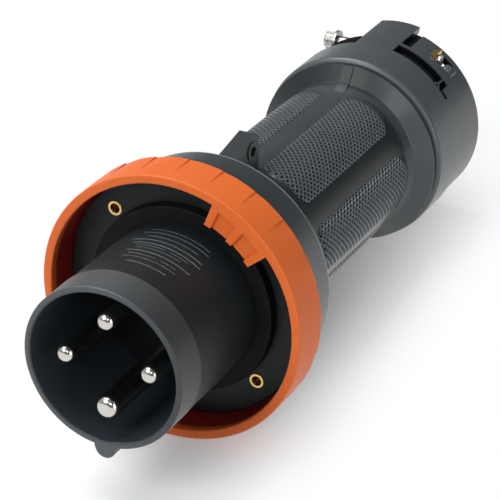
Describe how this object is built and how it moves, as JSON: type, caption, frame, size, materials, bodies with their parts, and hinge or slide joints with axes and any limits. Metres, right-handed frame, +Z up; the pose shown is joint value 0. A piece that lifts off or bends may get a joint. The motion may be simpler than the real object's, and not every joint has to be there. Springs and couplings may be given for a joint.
{
  "type": "pin and sleeve plug",
  "caption": "Straight industrial pin and sleeve plug: keyed sleeve with round pins, turning bayonet coupling ring, hollow grip handle, cable gland and clamp.",
  "frame": {"origin": "centre of the sleeve's mouth, in the plane of its rim", "axes": "+Y along the plug's axis from the pins to the cable end, +Z up with the sleeve's key down, +X to the right seen from the pins"},
  "size_m": [0.119, 0.2838, 0.119],
  "materials": {
    "dark_plastic": "satin moulded, dark grey",
    "grey_plastic": "satin moulded, mid grey",
    "black_plastic": "matt black",
    "orange_plastic": "satin moulded, orange",
    "rubber": "matt dark rubber",
    "plated_brass": "nickel plated, polished",
    "brass": "turned brass",
    "steel": "zinc plated"
  },
  "bodies": {
    "plug": {"sleeve": "dark_plastic", "face_plate": "dark_plastic", "contact_carrier": "dark_plastic", "face_gasket": "rubber", "body_seal": "rubber", "pin_plate": "dark_plastic", "handle_body": "grey_plastic", "tether_ear": "grey_plastic", "gland_bush": "rubber", "gland_washer": "black_plastic", "gland_cap": "grey_plastic", "clamp_jaw": "black_plastic", "clamp_liner": "black_plastic", "phase_pin_1": "plated_brass", "phase_pin_2": "plated_brass", "phase_pin_3": "plated_brass", "earth_pin": "plated_brass", "phase_terminal_screw_1": "steel", "phase_terminal_screw_2": "steel", "phase_terminal_screw_3": "steel", "earth_terminal_screw": "steel", "pin_plate_screw_1": "steel", "pin_plate_screw_2": "steel", "brass_sleeve_1": "brass", "brass_sleeve_2": "brass", "brass_sleeve_3": "brass", "brass_sleeve_4": "brass", "flange_screw_1": "steel", "flange_screw_2": "steel", "flange_screw_3": "steel", "flange_screw_4": "steel", "clamp_screw_upper": "steel", "clamp_nut_upper": "brass", "clamp_washer_upper": "steel", "clamp_screw_lower": "steel", "clamp_nut_lower": "brass", "clamp_washer_lower": "steel"},
    "ring": {"coupling_ring": "orange_plastic"}
  },
  "joints": [
    {"name": "ring_turn", "type": "hinge", "parent": "plug", "child": "ring", "pos_m": [0, 0.064, 0], "axis": [0, 1, 0], "continuous": true}
  ]
}
